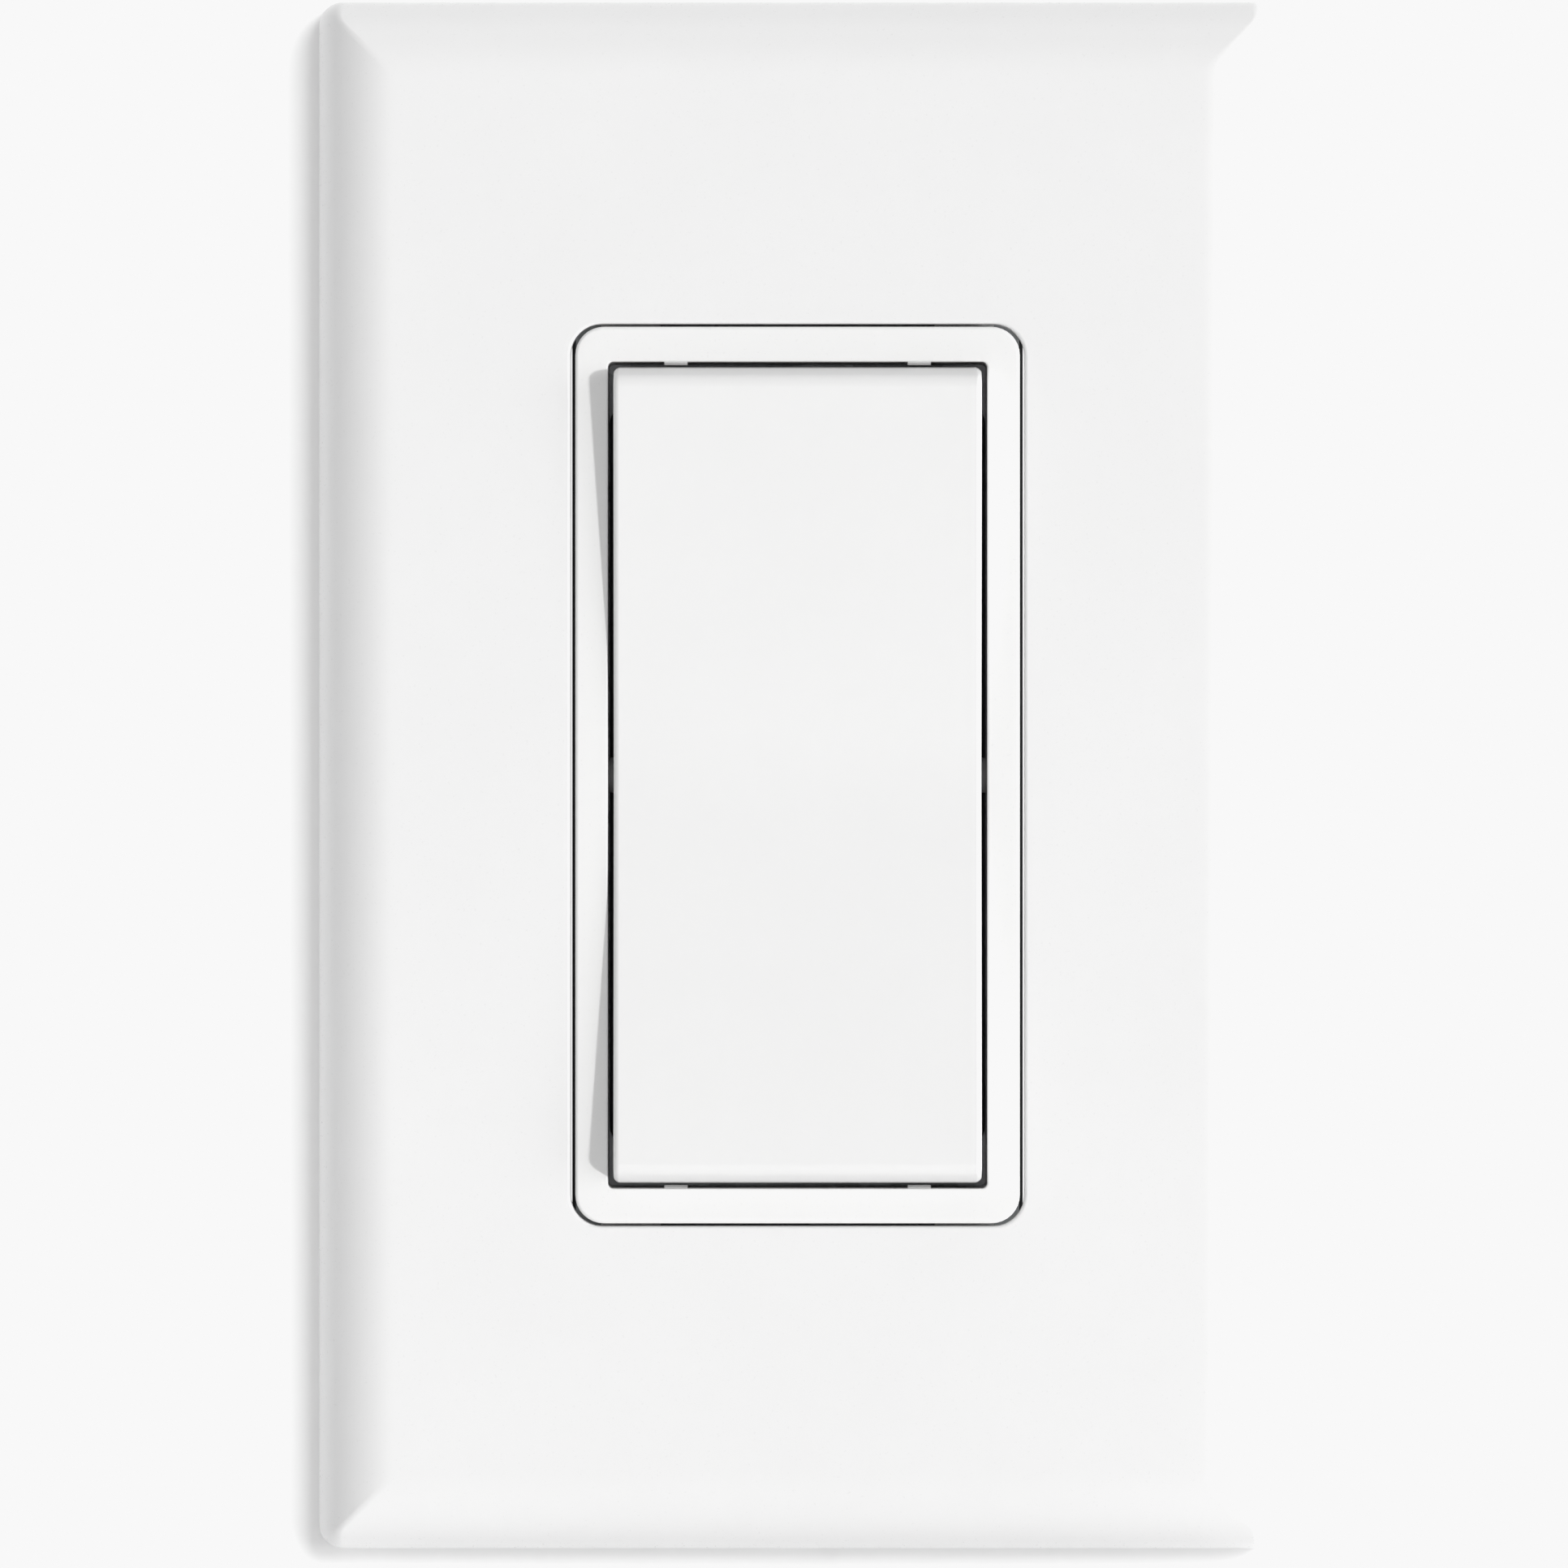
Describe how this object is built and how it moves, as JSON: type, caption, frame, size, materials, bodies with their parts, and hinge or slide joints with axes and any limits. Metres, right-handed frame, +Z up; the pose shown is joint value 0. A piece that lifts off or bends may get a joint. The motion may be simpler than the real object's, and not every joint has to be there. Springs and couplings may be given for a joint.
{
  "type": "rocker wall switch",
  "caption": "Single-gang rocker wall switch: wide concave paddle in a frame, screwless clip-on wall plate, steel strap, over-centre contacts in a rear housing.",
  "frame": {"origin": "centre of the wall plate on the wall surface", "axes": "+X to the right as seen from the room, +Y into the wall, +Z up"},
  "size_m": [0.0706, 0.0345, 0.1142],
  "materials": {
    "plate_white": "satin white moulded plastic",
    "frame_white": "satin white moulded plastic",
    "paddle_white": "smooth white moulded plastic",
    "sub_plate_nylon": "matte moulded nylon",
    "plated_screw": "zinc plated",
    "galvanised_steel": "galvanised, faint spangle",
    "fibre_washer": "pressed fibre",
    "green_screw": "green plated",
    "housing_thermoset": "matte thermoset",
    "barrier_plastic": "matte moulded plastic",
    "terminal_brass": "stamped",
    "brass_screw": "machined",
    "clamp_steel": "zinc plated",
    "contact_silver": "coined silver alloy",
    "elastomer": "moulded rubber",
    "natural_nylon": "natural nylon",
    "spring_steel": "drawn wire",
    "arm_copper": "stamped copper alloy"
  },
  "bodies": {
    "switch_frame": {"cover_plate": "plate_white", "sub_plate": "sub_plate_nylon", "sub_plate_screws": "plated_screw", "bezel_frame": "frame_white", "mounting_strap": "galvanised_steel", "box_screws": "plated_screw", "screw_retainers": "fibre_washer", "ground_screw": "green_screw", "rear_housing": "housing_thermoset", "mechanism_cover": "barrier_plastic", "assembly_screws": "plated_screw", "common_terminal": "terminal_brass", "switched_terminal": "terminal_brass", "terminal_screws": "brass_screw", "wire_clamps": "clamp_steel", "fixed_contact": "contact_silver", "stop_bumper": "elastomer"},
    "paddle": {"paddle": "paddle_white", "plunger_spring": "spring_steel"},
    "plunger": {"plunger": "natural_nylon"},
    "contact_rocker": {"contact_cradle": "natural_nylon", "contact_arm": "arm_copper", "cradle_rivets": "plated_screw", "moving_contact": "contact_silver"}
  },
  "joints": [
    {"name": "paddle_rock", "type": "hinge", "parent": "switch_frame", "child": "paddle", "pos_m": [0, -0.001, 0], "axis": [1, 0, 0], "range_deg": [-4.4, 4.4]},
    {"name": "contact_rock", "type": "hinge", "parent": "switch_frame", "child": "contact_rocker", "pos_m": [0, 0.0144, 0], "axis": [1, 0, 0], "range_deg": [-11, 11]},
    {"name": "plunger_slide", "type": "slide", "parent": "paddle", "child": "plunger", "axis": [0, 1, 0], "range_m": [-0.0008, 0.00012], "deforming": ["plunger_spring"]}
  ],
  "couplings": [
    {"joint": "contact_rock", "follows": "paddle_rock", "ratio": -2.5}
  ]
}
